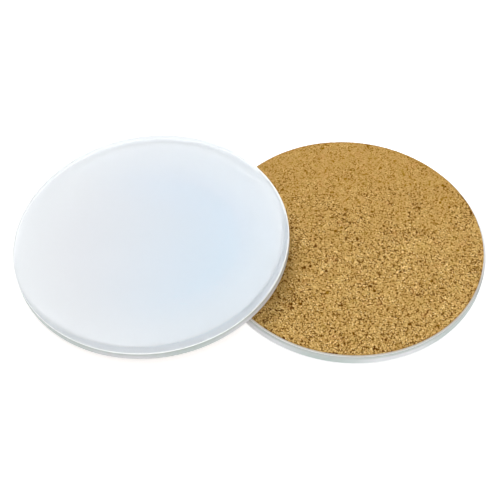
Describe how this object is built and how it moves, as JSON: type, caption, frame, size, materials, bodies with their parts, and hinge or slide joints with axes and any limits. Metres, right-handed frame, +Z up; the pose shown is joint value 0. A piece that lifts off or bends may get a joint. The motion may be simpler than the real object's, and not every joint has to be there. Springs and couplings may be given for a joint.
{
  "type": "drink coaster",
  "caption": "Flat round glass drink coasters with a white coat and a cork back: the face-up coaster leans on its upturned mate.",
  "frame": {"origin": "centre of the flat glass face on which the lower coaster rests", "axes": "+Z up from the table, +X from the upper coaster's centre towards the lower coaster's centre"},
  "size_m": [0.1717, 0.1, 0.0121],
  "materials": {
    "clear_glass": "clear with polished faces and a satin ground edge, faintly green there",
    "white_coat": "smooth opaque white",
    "adhesive_film": "clear film",
    "cork": "fine agglomerated cork, sanded, unsealed"
  },
  "bodies": {
    "lower_coaster": {"lower_glass_disc": "clear_glass", "lower_white_coat": "white_coat", "lower_adhesive_film": "adhesive_film", "lower_cork_pad": "cork"},
    "upper_coaster": {"upper_glass_disc": "clear_glass", "upper_white_coat": "white_coat", "upper_adhesive_film": "adhesive_film", "upper_cork_pad": "cork"}
  },
  "joints": [
    {"name": "upper_coaster_lift", "type": "slide", "parent": "lower_coaster", "child": "upper_coaster", "axis": [0, 0, 1], "range_m": [0, 0.04]}
  ]
}
